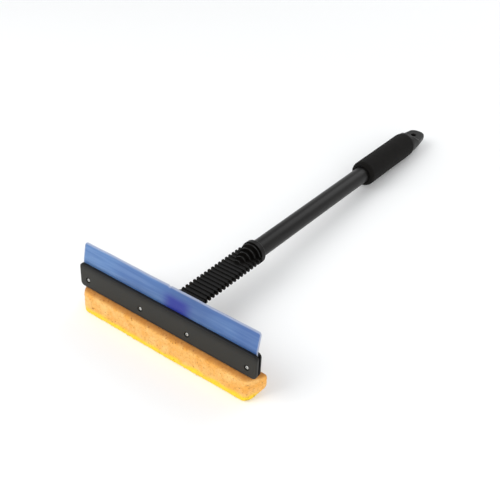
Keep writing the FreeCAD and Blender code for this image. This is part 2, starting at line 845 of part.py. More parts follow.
def write_parts(bodies):
    os.makedirs("parts", exist_ok=True)
    for body in bodies:
        body.Shape.exportStep(f"parts/{body.Label}.step")
        box = body.Shape.BoundBox
        print(f"{body.Label}: {box.XLength:.1f} x {box.YLength:.1f} x {box.ZLength:.1f}")


nodes = (
    make_front_bar(),
    make_blade(),
    make_carrier_strip(),
    make_sponge(),
    make_rear_head(),
    make_clamp_screws(),
    make_tube(),
    make_lock_screw(),
    make_grip(),
    make_end_cap(),
)
lay_down(nodes)
check_shapes(nodes)
write_parts(nodes)
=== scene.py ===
"""A hand window washer: rubber blade and sponge on a moulded head, with a tube handle.

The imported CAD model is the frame. The sponge, the rubber blade and the foam grip are made here
as finer surfaces; every other piece keeps its CAD shape and gets its finish here.
"""

import logging
import math
from collections.abc import Mapping, Sequence
from dataclasses import dataclass
from enum import Enum
from typing import Any

import bpy
import numpy as np
from mathutils import Matrix, Vector


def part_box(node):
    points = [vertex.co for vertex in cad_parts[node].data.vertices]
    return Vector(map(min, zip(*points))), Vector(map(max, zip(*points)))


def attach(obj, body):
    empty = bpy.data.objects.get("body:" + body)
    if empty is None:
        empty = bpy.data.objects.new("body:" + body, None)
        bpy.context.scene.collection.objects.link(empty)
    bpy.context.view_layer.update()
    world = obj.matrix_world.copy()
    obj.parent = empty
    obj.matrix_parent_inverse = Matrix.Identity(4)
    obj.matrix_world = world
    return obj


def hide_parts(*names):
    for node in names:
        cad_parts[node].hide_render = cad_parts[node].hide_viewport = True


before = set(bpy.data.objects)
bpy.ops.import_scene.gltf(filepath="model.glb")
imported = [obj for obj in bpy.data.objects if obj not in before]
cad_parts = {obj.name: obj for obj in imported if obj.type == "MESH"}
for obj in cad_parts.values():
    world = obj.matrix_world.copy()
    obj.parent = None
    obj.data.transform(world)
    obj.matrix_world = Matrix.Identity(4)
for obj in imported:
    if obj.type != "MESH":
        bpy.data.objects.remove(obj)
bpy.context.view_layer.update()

LOG = logging.getLogger("window_washer")
MM = 0.001
BODY = "root"
# The angle that spreads successive directions most evenly round a circle, in radians.
GOLDEN_ANGLE = 2.399963

# The handle dips from the head to the grip, because the tool lies on its sponge and its grip.
HANDLE_DIP = math.radians(3.18293)
# The middle of the handle's tube, along the handle from the clamp bar's front face.
TUBE_MIDDLE = 335.25 * MM


class Stage(Enum):
    """The names of the pieces that aren't part of the tool."""

    FLOOR = "floor"
    CAMERA = "camera"


# ---------------------------------------------------------------------------------------------
# The tool's own directions
# ---------------------------------------------------------------------------------------------


@dataclass(frozen=True)
class ToolAxes:
    """The tool's own directions: x along the head, y along the handle, z to the blade."""

    dip: float
    origin: np.ndarray

    @classmethod
    def from_tube(cls, node: str) -> "ToolAxes":
        """Finds the tool's origin from the straight tube, whose box is centred on its axis.

        Args:
            node: The CAD node of the tube.

        Returns:
            The tool's directions at rest.
        """
        low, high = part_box(node)
        middle = np.array((low + high) / 2)
        along = np.array((0.0, math.cos(HANDLE_DIP), -math.sin(HANDLE_DIP)))
        return cls(HANDLE_DIP, middle - along * TUBE_MIDDLE)

    def rotation(self) -> np.ndarray:
        """The turn about x by the handle's dip, as a 3 by 3 matrix."""
        c, s = math.cos(self.dip), math.sin(self.dip)
        return np.array(((1.0, 0.0, 0.0), (0.0, c, s), (0.0, -s, c)))

    def place(self, points: np.ndarray) -> np.ndarray:
        """Carries points from the tool's own directions to where it rests.

        Args:
            points: Points in metres, last axis x, y, z.

        Returns:
            The same points in the row frame: turned about x by the dip, then shifted.
        """
        return points @ self.rotation().T + self.origin


# ---------------------------------------------------------------------------------------------
# Surfaces
# ---------------------------------------------------------------------------------------------


def smooth_step(low: float, high: float, value: np.ndarray) -> np.ndarray:
    """Rises from 0 at low to 1 at high as 3t squared less 2t cubed.

    Args:
        low: Where the step starts.
        high: Where the step ends.
        value: What is stepped.

    Returns:
        The step's height for each value.
    """
    t = np.clip((value - low) / (high - low), 0.0, 1.0)
    return t * t * (3.0 - 2.0 * t)


def rounded_outline(corners: Sequence[tuple[float, float]], radii: Sequence[float],
                    count: int) -> np.ndarray:
    """A polygon whose corners are arcs, as points at equal steps along its length.

    Each corner is cut back by radius over the tangent of half its angle, and the arc between
    the two cuts is centred on the corner's bisector.

    Args:
        corners: The polygon's corners, anticlockwise.
        radii: One radius per corner.
        count: How many points to return.

    Returns:
        An array of count points, not repeating the first.
    """
    pieces = []
    points = np.array(corners)
    for index, radius in enumerate(radii):
        corner = points[index]
        before = points[index - 1] - corner
        after = points[(index + 1) % len(points)] - corner
        before /= np.linalg.norm(before)
        after /= np.linalg.norm(after)
        half = math.acos(float(np.clip(before @ after, -1.0, 1.0))) / 2
        bisector = (before + after) / np.linalg.norm(before + after)
        centre = corner + bisector * radius / math.sin(half)
        start = corner + before * radius / math.tan(half) - centre
        end = corner + after * radius / math.tan(half) - centre
        angle = np.linspace(0.0, 1.0, 17)[:, None]
        sweep = math.pi - 2 * half
        arc = (np.sin((1 - angle) * sweep) * start + np.sin(angle * sweep) * end)
        pieces.append(centre + arc / math.sin(sweep))
    path = np.concatenate(pieces + [pieces[0][:1]])
    steps = np.concatenate(([0.0], np.cumsum(np.linalg.norm(np.diff(path, axis=0), axis=1))))
    wanted = np.linspace(0.0, steps[-1], count, endpoint=False)
    return np.stack([np.interp(wanted, steps, path[:, k]) for k in range(2)], axis=1)


def grid_normals(points: np.ndarray) -> np.ndarray:
    """Unit normals of a grid that closes on itself along its second axis.

    The normal is the cross product of the steps along the two axes, by central differences.

    Args:
        points: Grid of points, rings by points round each ring by 3.

    Returns:
        A grid of unit vectors of the same shape.
    """
    along = np.gradient(points, axis=0)
    around = (np.roll(points, -1, axis=1) - np.roll(points, 1, axis=1)) / 2
    normal = np.cross(along, around)
    length = np.linalg.norm(normal, axis=2, keepdims=True)
    return normal / np.maximum(length, 1e-12)


def scatter(cells: np.ndarray, salt: float) -> np.ndarray:
    """A repeatable number from 0 to 1 for each whole-number cell and salt.

    It is the fractional part of a large multiple of the sine of a weighted sum.

    Args:
        cells: Cell numbers, last axis of length 3.
        salt: Picks one of many unrelated fields.

    Returns:
        One number per cell.
    """
    mixed = cells @ np.array((12.9898, 78.233, 37.719)) + salt * 19.19
    return np.modf(np.abs(np.sin(mixed)) * 43758.5453)[0]


def pore_field(points: np.ndarray, cell: float, radius: tuple[float, float], share: float,
               salt: float) -> np.ndarray:
    """How deep each point lies in the nearest of many scattered round pores, from 0 to 1.

    Space is cut into cubes. A share of them hold one pore each, at a scattered place and of a
    scattered radius, and a pore's depth falls smoothly from its middle to its rim.

    Args:
        points: Points in metres, last axis of length 3.
        cell: The cubes' side.
        radius: Smallest and largest pore radius.
        share: Share of the cubes that hold a pore.
        salt: Picks the scatter.

    Returns:
        One depth per point.
    """
    scaled = points / cell
    home = np.floor(scaled)
    depth = np.zeros(points.shape[:-1])
    for shift in np.ndindex(3, 3, 3):
        cube = home + np.array(shift) - 1.0
        centre = cube + np.stack([scatter(cube, salt + k) for k in range(3)], axis=-1)
        size = radius[0] + (radius[1] - radius[0]) * scatter(cube, salt + 3)
        size = size * (scatter(cube, salt + 4) < share)
        distance = np.linalg.norm(scaled - centre, axis=-1) * cell
        inside = np.clip(1.0 - distance / np.maximum(size, 1e-9), 0.0, 1.0)
        depth = np.maximum(depth, inside * inside * (3.0 - 2.0 * inside))
    return depth


@dataclass(frozen=True)
class PoreSize:
    """One size of pore scattered over a surface. Sizes in metres."""

    cell: float
    smallest: float
    largest: float
    share: float
    salt: float
    depth: float
    # How strongly painted shade darkens this size of pore.
    painted_shade_weight: float = 1.0

    def field(self, points: np.ndarray) -> np.ndarray:
        """How deep each point lies in a pore of this size.

        Args:
            points: Points in metres, last axis of length 3.

        Returns:
            One number from 0 to 1 per point.
        """
        radius = (self.smallest, self.largest)
        return pore_field(points, self.cell, radius, self.share, self.salt)


def swell(points: np.ndarray, wave: float, salt: float) -> np.ndarray:
    """Smooth lumps between about -1 and 1: the mean of cosines along scattered directions.

    Args:
        points: Points in metres, last axis of length 3.
        wave: Typical distance between two lumps.
        salt: Picks the directions.

    Returns:
        One height per point.
    """
    total = np.zeros(points.shape[:-1])
    count = 6
    for index in range(count):
        angle = salt + GOLDEN_ANGLE * index
        tilt = math.cos(salt * 3.1 + index * 1.7)
        flat = math.sqrt(1.0 - tilt * tilt)
        ray = np.array((math.cos(angle) * flat, math.sin(angle) * flat, tilt))
        pace = 2 * math.pi / (wave * (0.7 + 0.12 * index))
        total += np.cos(points @ ray * pace + salt * (index + 1))
    return total / count


def ring_faces(rings: int, around: int) -> np.ndarray:
    """Quads between each ring and the next, every ring closing on itself.

    Args:
        rings: How many rings.
        around: How many points in a ring.

    Returns:
        Rows of four point numbers.
    """
    ring, step = np.meshgrid(np.arange(rings - 1), np.arange(around), indexing="ij")
    after = (step + 1) % around
    first = ring * around
    quads = (first + step, first + around + step, first + around + after, first + after)
    return np.stack([quad.ravel() for quad in quads], axis=1)


def make_object(name: str, points: np.ndarray, faces: list[Sequence[int]],
                values: Mapping[str, np.ndarray] | None = None,
                sharp: float | None = None) -> bpy.types.Object:
    """Makes a smooth-shaded object whose place is in its mesh.

    Args:
        name: The piece's name.
        points: Points in the row frame, any grid shape ending in 3.
        faces: Point numbers of each face, facing outwards.
        values: Numbers per point, by attribute name.
        sharp: Edges that turn by more than this angle are sharp, in radians.

    Returns:
        The new object, linked to the scene.
    """
    mesh = bpy.data.meshes.new(name)
    mesh.from_pydata(points.reshape(-1, 3).tolist(), [], [list(face) for face in faces])
    for key, value in (values or {}).items():
        layer = mesh.attributes.new(key, "FLOAT", "POINT")
        layer.data.foreach_set("value", value.ravel().astype(np.float32))
    mesh.polygons.foreach_set("use_smooth", np.ones(len(mesh.polygons), dtype=bool))
    if sharp is not None:
        mesh.set_sharp_from_angle(angle=sharp)
    mesh.update()
    mesh.validate()
    obj = bpy.data.objects.new(name, mesh)
    bpy.context.scene.collection.objects.link(obj)
    return obj


# ---------------------------------------------------------------------------------------------
# Shader nodes
# ---------------------------------------------------------------------------------------------


def linear(code: str) -> tuple[float, float, float, float]:
    """An sRGB hex colour as linear red, green, blue and alpha.

    Args:
        code: Six hex digits, such as "F2C05E".

    Returns:
        Linear values: the sRGB curve undone channel by channel.
    """
    channels = [int(code[k:k + 2], 16) / 255 for k in (0, 2, 4)]
    curve = [c / 12.92 if c <= 0.04045 else ((c + 0.055) / 1.055) ** 2.4 for c in channels]
    return (curve[0], curve[1], curve[2], 1.0)


def add_node(tree: bpy.types.NodeTree, kind: str, inputs: Mapping[int | str, Any] | None = None,
             **settings: Any) -> bpy.types.Node:
    """Adds a node, sets it up and feeds its inputs.

    Args:
        tree: The material's or world's node tree.
        kind: The node's type, without the ShaderNode before it.
        inputs: By input name or number: a socket to link, or a value to set.
        **settings: The node's own properties.

    Returns:
        The new node.
    """
    node = tree.nodes.new("ShaderNode" + kind)
    for key, value in settings.items():
        setattr(node, key, value)
    for key, value in (inputs or {}).items():
        if isinstance(value, bpy.types.NodeSocket):
            tree.links.new(value, node.inputs[key])
        else:
            node.inputs[key].default_value = value
    return node


def new_material(name: str) -> tuple[bpy.types.Material, bpy.types.NodeTree]:
    """An empty node material and its tree.

    Args:
        name: What the real material is and how it was made.

    Returns:
        The material and its cleared node tree.
    """
    material = bpy.data.materials.new(name)
    material.use_nodes = True
    material.node_tree.nodes.clear()
    return material, material.node_tree


def place_on_piece(tree: bpy.types.NodeTree,
                   stretch: tuple[float, float, float] = (1.0, 1.0, 1.0)) -> Any:
    """Object coordinates turned to the tool's own directions, and stretched.

    Args:
        tree: The material's tree.
        stretch: Scale along the head, the handle and the height.

    Returns:
        The vector socket.
    """
    where = add_node(tree, "TexCoord").outputs["Object"]
    turned = add_node(tree, "Mapping", {"Vector": where, "Rotation": (HANDLE_DIP, 0.0, 0.0)})
    scaled = add_node(tree, "Mapping", {"Vector": turned.outputs[0], "Scale": stretch})
    return scaled.outputs[0]


def noise(tree: bpy.types.NodeTree, where: Any, size: float, detail: float = 2.0,
          roughness: float = 0.5) -> Any:
    """Noise whose lumps are about one size across.

    Args:
        tree: The material's tree.
        where: The coordinates.
        size: The lumps' size in metres.
        detail: How many finer layers lie on it.
        roughness: How strong those layers are.

    Returns:
        The socket of its height, around 0.5.
    """
    node = add_node(tree, "TexNoise", {"Vector": where, "Scale": 1.0 / size, "Detail": detail,
                                       "Roughness": roughness})
    return node.outputs["Fac"]


def spread(tree: bpy.types.NodeTree, value: Any, source: tuple[float, float],
           target: tuple[float, float]) -> Any:
    """Maps a value from one range to another, held at both ends.

    Args:
        tree: The material's tree.
        value: The socket to map.
        source: The range it comes in.
        target: The range it goes out in.

    Returns:
        The mapped socket.
    """
    node = add_node(tree, "MapRange", {"Value": value, "From Min": source[0],
                                       "From Max": source[1], "To Min": target[0],
                                       "To Max": target[1]})
    return node.outputs[0]


def mix_colour(tree: bpy.types.NodeTree, share: Any, first: Any, second: Any) -> Any:
    """The first colour going over to the second as the share rises to 1.

    Args:
        tree: The material's tree.
        share: A socket or number from 0 to 1.
        first: The colour at 0, a socket or a linear colour.
        second: The colour at 1.

    Returns:
        The mixed colour's socket.
    """
    node = add_node(tree, "Mix", {0: share, 6: first, 7: second}, data_type="RGBA")
    return node.outputs[2]


def calculate(tree: bpy.types.NodeTree, operation: str, first: Any, second: Any = 0.0) -> Any:
    """One sum on two numbers or sockets.

    Args:
        tree: The material's tree.
        operation: The Math node's operation.
        first: The first value.
        second: The second value.

    Returns:
        The result's socket.
    """
    return add_node(tree, "Math", {0: first, 1: second}, operation=operation).outputs[0]


def bump(tree: bpy.types.NodeTree, height: Any, depth: float, over: Any = None) -> Any:
    """Turns a height from 0 to 1 into a surface relief.

    Args:
        tree: The material's tree.
        height: The height's socket.
        depth: How deep the relief is, in metres.
        over: The normal it lies on, if there is one already.

    Returns:
        The normal's socket.
    """
    inputs = {"Height": height, "Distance": depth, "Strength": 1.0}
    if over is not None:
        inputs["Normal"] = over
    return add_node(tree, "Bump", inputs).outputs[0]


def finish_surface(tree: bpy.types.NodeTree, inputs: Mapping[str, Any]) -> None:
    """Adds the surface shader and the output.

    Args:
        tree: The material's tree.
        inputs: The surface shader's inputs by name.
    """
    surface = add_node(tree, "BsdfPrincipled", inputs)
    add_node(tree, "OutputMaterial", {"Surface": surface.outputs[0]})


# ---------------------------------------------------------------------------------------------
# Finishes
# ---------------------------------------------------------------------------------------------


@dataclass(frozen=True)
class MouldedPlastic:
    """Injection-moulded polypropylene or ABS from a spark-eroded mould: satin, finely grained."""

    name: str
    colour: str
    worn: str
    roughness: float = 0.42
    shine: float = 0.2
    # Mould grain is 0.1 to 0.2 mm; it is drawn coarser so that it shows at arm's length.
    grain: float = 0.55 * MM
    relief: float = 0.05 * MM
    cloud: float = 16 * MM
    # Painted shade along the upper edge: its colour, and the heights between which it fades in.
    # Heights are those of the turned object coordinates, and the usual ones lie far above the tool.
    edge: str = "0D0D0E"
    painted_shade_heights: tuple[float, float] = (1.0, 1.1)
    painted_shade_share: float = 0.8

    def material(self) -> bpy.types.Material:
        """Builds the node material."""
        material, tree = new_material(self.name)
        where = place_on_piece(tree)
        cloud = noise(tree, where, self.cloud, detail=3.0)
        grain = noise(tree, where, self.grain, detail=2.0, roughness=0.6)
        handled = spread(tree, cloud, (0.35, 0.75), (0.0, 0.75))
        tint = mix_colour(tree, handled, linear(self.colour), linear(self.worn))
        height = add_node(tree, "SeparateXYZ", {0: where}).outputs["Z"]
        # Painted shade darkens the upper edge between those heights.
        upper = spread(tree, height, self.painted_shade_heights, (0.0, self.painted_shade_share))
        tint = mix_colour(tree, upper, tint, linear(self.edge))
        gloss = spread(tree, cloud, (0.3, 0.7), (self.roughness - 0.05, self.roughness + 0.07))
        fine = spread(tree, grain, (0.3, 0.7), (-0.04, 0.04))
        finish_surface(tree, {
            "Base Color": tint,
            "Roughness": calculate(tree, "ADD", gloss, fine),
            "IOR": 1.49,
            "Specular IOR Level": self.shine,
            "Normal": bump(tree, grain, self.relief),
        })
        return material


@dataclass(frozen=True)
class PaintedTube:
    """Powder coat baked on drawn steel tube: satin black with a faint orange peel."""

    name: str = "powder_coated_steel_tube"
    colour: str = "080706"
    worn: str = "12100C"
    roughness: float = 0.36
    shine: float = 0.22
    peel: float = 1.6 * MM
    relief: float = 0.02 * MM
    drawn_line: float = 3.0 * MM
    cloud: float = 30 * MM

    def material(self) -> bpy.types.Material:
        """Builds the node material."""
        material, tree = new_material(self.name)
        where = place_on_piece(tree)
        drawn = place_on_piece(tree, (1.0, 0.04, 1.0))
        peel = noise(tree, where, self.peel, detail=1.0)
        rubbed = noise(tree, drawn, self.drawn_line, detail=4.0)
        cloud = noise(tree, where, self.cloud, detail=2.0)
        wear = calculate(tree, "MULTIPLY", spread(tree, rubbed, (0.5, 0.72), (0.0, 1.0)),
                         spread(tree, cloud, (0.35, 0.65), (0.2, 1.0)))
        finish_surface(tree, {
            "Base Color": mix_colour(tree, wear, linear(self.colour), linear(self.worn)),
            "Roughness": spread(tree, wear, (0.0, 1.0), (self.roughness, self.roughness + 0.1)),
            "IOR": 1.5,
            "Specular IOR Level": self.shine,
            "Normal": bump(tree, peel, self.relief),
        })
        return material


@dataclass(frozen=True)
class PlatedSteel:
    """Bright zinc plate on cold-headed steel screws: metallic with a fine uneven polish."""

    name: str = "zinc_plated_screw_steel"
    colour: str = "D6D6D2"
    shade: str = "A9ABAA"
    roughness: float = 0.24
    patch: float = 0.8 * MM
    relief: float = 0.02 * MM

    def material(self) -> bpy.types.Material:
        """Builds the node material."""
        material, tree = new_material(self.name)
        where = place_on_piece(tree)
        patch = noise(tree, where, self.patch, detail=3.0)
        share = spread(tree, patch, (0.35, 0.65), (0.0, 1.0))
        finish_surface(tree, {
            "Base Color": mix_colour(tree, share, linear(self.colour), linear(self.shade)),
            "Metallic": 1.0,
            "Roughness": spread(tree, patch, (0.3, 0.7), (self.roughness, self.roughness + 0.14)),
            "Normal": bump(tree, patch, self.relief),
        })
        return material


@dataclass(frozen=True)
class BladeRubber:
    """Extruded, tinted soft vinyl: milky blue, flow streaks, pale cut lip with painted highlight.
    """

    name: str = "extruded_blue_vinyl_rubber"
    colour: str = "5480BC"
    streak: str = "7BA3D2"
    deep: str = "3F62A6"
    # Painted shade where the neck's foot shows through the blade.
    shadow: str = "2335A8"
    # Pale cut lip and ends: partly the cut vinyl's own paleness, partly a painted highlight.
    lip: str = "B9C3DA"
    roughness: float = 0.34
    clearness: float = 0.45
    flow_line: float = 4.2 * MM
    cloud: float = 70 * MM
    fine_line: float = 1.2 * MM
    relief: float = 0.03 * MM

    def material(self) -> bpy.types.Material:
        """Builds the node material."""
        material, tree = new_material(self.name)
        flow = place_on_piece(tree, (0.05, 1.0, 1.0))
        where = place_on_piece(tree)
        streaks = noise(tree, flow, self.flow_line, detail=3.0, roughness=0.6)
        broad = noise(tree, where, self.cloud, detail=2.0)
        fine = noise(tree, flow, self.fine_line, detail=2.0)
        lip = add_node(tree, "Attribute", attribute_name="lip").outputs["Fac"]
        pale = mix_colour(tree, spread(tree, streaks, (0.42, 0.66), (0.0, 1.0)),
                          linear(self.colour), linear(self.streak))
        toned = mix_colour(tree, spread(tree, broad, (0.38, 0.62), (0.0, 0.55)), pale,
                           linear(self.deep))
        # Painted shade of the neck's foot seen through the blade, then the pale lip with its
        # painted highlight.
        painted_neck_shade = add_node(tree, "Attribute", attribute_name="painted_neck_shade").outputs["Fac"]
        neck_shaded = mix_colour(tree, painted_neck_shade, toned, linear(self.shadow))
        finish_surface(tree, {
            "Base Color": mix_colour(tree, lip, neck_shaded, linear(self.lip)),
            "Roughness": spread(tree, streaks, (0.3, 0.7),
                                (self.roughness - 0.06, self.roughness + 0.12)),
            "IOR": 1.5,
            "Transmission Weight": self.clearness,
            "Normal": bump(tree, fine, self.relief),
        })
        return material


@dataclass(frozen=True)
class CelluloseSponge:
    """Regenerated cellulose cut from a block: matt, orange, with open pores of many sizes."""

    name: str = "cut_cellulose_sponge"
    colour: str = "E9A74E"
    pale: str = "F2BE70"
    # pore and deep: painted shade in the small pits and deep in the pores; the random mottle also
    # mixes towards pore.
    pore: str = "A9651F"
    deep: str = "774011"
    # Painted bounce light from the floor: lemon yellow along the sponge's foot.
    painted_bounce_lemon: str = "F2CC2A"
    # Painted shade where the clamp bar overhangs the sponge.
    under_bar_shade: str = "A8692A"
    cloud: float = 9 * MM
    grain: float = 1.1 * MM
    cell: float = 1.5 * MM
    speck: float = 2.6 * MM
    relief: float = 0.45 * MM

    def material(self) -> bpy.types.Material:
        """Builds the node material."""
        material, tree = new_material(self.name)
        where = place_on_piece(tree)
        cloud = noise(tree, where, self.cloud, detail=3.0)
        grit = noise(tree, where, self.grain, detail=3.0, roughness=0.65)
        cells = add_node(tree, "TexVoronoi", {"Vector": where, "Scale": 1 / self.cell})
        attribute = {key: add_node(tree, "Attribute", attribute_name=key).outputs["Fac"]
                     for key in ("pore", "painted_bar_shade", "foot")}
        body = mix_colour(tree, spread(tree, cloud, (0.35, 0.65), (0.0, 1.0)),
                          linear(self.colour), linear(self.pale))
        mottle = noise(tree, where, self.speck, detail=3.0, roughness=0.7)
        body = mix_colour(tree, spread(tree, mottle, (0.5, 0.7), (0.0, 0.42)), body,
                          linear(self.pore))
        # Painted bounce light from the floor, lemon along the foot.
        foot = mix_colour(tree, attribute["foot"], body, linear(self.painted_bounce_lemon))
        # Painted shade under the clamp bar.
        under_bar_shade = mix_colour(tree, attribute["painted_bar_shade"], foot, linear(self.under_bar_shade))
        # Small pits: painted shade in the colour, and dents in the bump.
        dot = spread(tree, cells.outputs["Distance"], (0.12, 0.46), (0.6, 0.0))
        dots = calculate(tree, "MULTIPLY", dot, spread(tree, grit, (0.45, 0.6), (0.0, 1.0)))
        pit_shaded = mix_colour(tree, dots, under_bar_shade, linear(self.pore))
        # Painted shade deep in the pores.
        pore_shaded = mix_colour(tree, spread(tree, attribute["pore"], (0.15, 0.75), (0.0, 0.75)),
                           pit_shaded, linear(self.deep))
        relief = calculate(tree, "SUBTRACT", grit, dots)
        finish_surface(tree, {
            "Base Color": pore_shaded,
            "Roughness": 0.95,
            "Specular IOR Level": 0.2,
            "Sheen Weight": 0.15,
            "Normal": bump(tree, relief, self.relief),
        })
        return material


@dataclass(frozen=True)
class GripFoam:
    """Extruded nitrile foam with its skin ground off: matt black, with tiny cut cells."""

    name: str = "ground_nitrile_foam"
    colour: str = "0B0A09"
    dusty: str = "171512"
    # The cells are about 0.3 mm; they are drawn coarser so that they show.
    cell: float = 0.9 * MM
    grain: float = 2.2 * MM
    cloud: float = 14 * MM
    relief: float = 0.2 * MM

    def material(self) -> bpy.types.Material:
        """Builds the node material."""
        material, tree = new_material(self.name)
        where = place_on_piece(tree)
        cells = add_node(tree, "TexVoronoi", {"Vector": where, "Scale": 1 / self.cell})
        grit = noise(tree, where, self.grain, detail=4.0, roughness=0.65)
        cloud = noise(tree, where, self.cloud, detail=3.0)
        dusty = calculate(tree, "MULTIPLY", spread(tree, grit, (0.4, 0.65), (0.0, 1.0)),
                          spread(tree, cloud, (0.35, 0.65), (0.35, 1.0)))
        relief = calculate(tree, "ADD", cells.outputs["Distance"], grit)
        finish_surface(tree, {
            "Base Color": mix_colour(tree, dusty, linear(self.colour), linear(self.dusty)),
            "Roughness": spread(tree, grit, (0.3, 0.7), (0.78, 0.95)),
            "Specular IOR Level": 0.12,
            "Sheen Weight": 0.02,
            "Normal": bump(tree, relief, self.relief),
        })
        return material


# ---------------------------------------------------------------------------------------------
# Sub-assemblies
# ---------------------------------------------------------------------------------------------


def dress(node: str, material: bpy.types.Material) -> None:
    """Gives a CAD node its finish.

    Args:
        node: The CAD node.
        material: Its material.
    """
    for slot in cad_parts[node].material_slots:
        slot.material = material
    LOG.info("%s: keeps its CAD shape, finish %s", node, material.name)


def adopt(obj: bpy.types.Object, node: str, material: bpy.types.Material) -> None:
    """Lets a finer piece stand for a CAD node.

    Args:
        obj: The finer piece.
        node: The CAD node it stands for.
        material: Its material.
    """
    obj.data.materials.append(material)
    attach(obj, BODY)
    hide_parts(node)
    LOG.info("%s: %d faces stand for %s", obj.name, len(obj.data.polygons), node)


@dataclass
class Sponge:
    """The cut cellulose sponge under the clamp bar. Sizes in metres, in the tool's directions."""

    axes: ToolAxes
    toe: float = -5.5 * MM
    front: float = -4.8 * MM
    back: float = 17.6 * MM
    top: float = -16.0 * MM
    flat: float = -1.5 * MM
    drop: float = -45.7 * MM
    heel_run: float = 15.0 * MM
    heel_rise: float = 12.0 * MM
    half_front: float = 111.0 * MM
    half_back: float = 123.5 * MM
    corner_radii: tuple[float, ...] = (6.0 * MM, 3.2 * MM, 5.0 * MM, 6.0 * MM, 4.5 * MM)
    rounding: float = 3.4 * MM
    pitch: float = 0.68 * MM
    bulge: float = 0.6 * MM
    pores: tuple[PoreSize, ...] = (
        PoreSize(8.5 * MM, 1.1 * MM, 1.9 * MM, 0.4, 3.0, 1.5 * MM),
        PoreSize(4.2 * MM, 0.9 * MM, 1.5 * MM, 0.5, 17.0, 0.9 * MM, 0.85),
        PoreSize(2.3 * MM, 0.6 * MM, 1.0 * MM, 0.75, 41.0, 0.45 * MM, 0.65),
    )
    # Heights above the floor between which the painted bounce light at the lemon foot fades, and
    # heights between which painted shade darkens the sponge under the bar.
    painted_bounce_band: tuple[float, float] = (5.0 * MM, 10.5 * MM)
    painted_bar_shade_band: tuple[float, float] = (-21.0 * MM, -16.5 * MM)

    def ground(self, along: Any) -> Any:
        """Height of the floor under one place or many along the handle.

        Args:
            along: Places along the handle, a number or an array.

        Returns:
            Heights in the tool's own directions: a slope through the sponge's underside.
        """
        return self.drop + (along - self.flat) * math.tan(self.axes.dip)

    def outline(self, around: int) -> np.ndarray:
        """The sponge's cross-section: five straight sides with rounded corners.

        Args:
            around: How many points to return.

        Returns:
            Places along the handle and heights, from the upper front corner down.
        """
        heel = self.back - self.heel_run
        corners = ((self.front, self.top), (self.toe, self.ground(self.toe)),
                   (heel, self.ground(heel)),
                   (self.back, self.ground(self.back) + self.heel_rise), (self.back, self.top))
        return rounded_outline(corners, self.corner_radii, around)

    def rings(self) -> tuple[np.ndarray, np.ndarray]:
        """Where the rings lie along the head, and how far each is drawn in.

        Returns:
            The place of each ring from -1 to 1, and its inset in metres. The rounding follows
            a quarter circle at each end, and the end face closes to its middle.
        """
        half = (self.half_front + self.half_back) / 2
        turn = np.linspace(0.0, math.pi / 2, 9)[1:]
        corner = (half - self.rounding * (1 - np.sin(turn))) / half
        inset = self.rounding * (1 - np.cos(turn))
        across = np.linspace(0.0, 1.0, 22)[1:]
        body = np.linspace(0.0, 1.0 - self.rounding / half, round(half / self.pitch))
        place = np.concatenate((body, corner, np.ones_like(across)))
        drawn = np.concatenate((np.zeros_like(body), inset, self.rounding + across))
        return (np.concatenate((-place[:0:-1], place)), np.concatenate((drawn[:0:-1], drawn)))

    def block(self) -> np.ndarray:
        """The smooth block: the cross-section carried along the head in rings.

        Each ring is the cross-section drawn in towards its middle by the ring's inset. A
        point's place along the head is the ring's place times the half length at its depth,
        which bevels the ends. The front bulges a little between the ends.

        Returns:
            The grid of points in the tool's own directions.
        """
        middle = (self.back + self.toe) / 2
        height = self.top - self.ground(middle)
        depth = self.back - self.toe
        outline = self.outline(round(2 * (height + depth) / self.pitch))
        place, inset = self.rings()
        centre = np.array((middle, (self.top + self.ground(middle)) / 2))
        half = np.array((depth / 2, height / 2))
        shrink = 1.0 - np.minimum(inset, self.rounding)[:, None, None] / half
        # The end faces close to a ring so small that one face fills it.
        closing = np.clip(inset - self.rounding, 0.0, 1.0)[:, None, None]
        flat = centre + (outline[None] - centre) * shrink * (1.0 - closing * 0.995)
        share = (flat[..., 0] - self.toe) / depth
        reach = self.half_front + (self.half_back - self.half_front) * share
        points = np.stack((place[:, None] * reach, flat[..., 0], flat[..., 1]), axis=-1)
        belly = smooth_step(0.0, 1.0, 1.0 - np.abs(place))[:, None]
        belly = belly * smooth_step(middle, self.toe, points[..., 1])
        points[..., 1] -= self.bulge * belly
        return points

    def surface(self) -> tuple[np.ndarray, dict[str, np.ndarray]]:
        """The sponge's skin: the block pushed in by pores and out by lumps, above the floor.

        Returns:
            The grid of points in the row frame, and numbers per point by attribute name.
        """
        points = self.block()
        normal = grid_normals(points)
        depths = [size.field(points) for size in self.pores]
        pushed = sum(size.depth * depth for size, depth in zip(self.pores, depths))
        lumps = 0.22 * MM * swell(points, 26 * MM, 1.3) + 0.12 * MM * swell(points, 8 * MM, 4.1)
        points = points + normal * (lumps - pushed)[..., None]
        floor = self.ground(points[..., 1])
        points[..., 2] = np.maximum(points[..., 2], floor + 0.02 * MM)
        wavy = points[..., 2] - floor + 2.6 * MM * swell(points, 15 * MM, 2.2)
        # Painted shade in the pores and under the bar, and painted bounce light at the foot.
        shades = {
            "pore": np.maximum.reduce([size.painted_shade_weight * depth
                                       for size, depth in zip(self.pores, depths)]),
            "painted_bar_shade": 0.8 * smooth_step(*self.painted_bar_shade_band, points[..., 2]),
            "foot": 1.0 - smooth_step(*self.painted_bounce_band, wavy),
        }
        return self.axes.place(points), shades

    def build(self, finish: CelluloseSponge) -> None:
        """Makes the sponge and puts it in its CAD node's place.

        Args:
            finish: The sponge's finish.
        """
        points, values = self.surface()
        rings, around = points.shape[:2]
        faces = ring_faces(rings, around).tolist()
        faces.append(list(range(around)))
        last = (rings - 1) * around
        faces.append(list(range(last + around - 1, last - 1, -1)))
        obj = make_object("sponge_body", points, faces, values)
        adopt(obj, "sponge", finish.material())


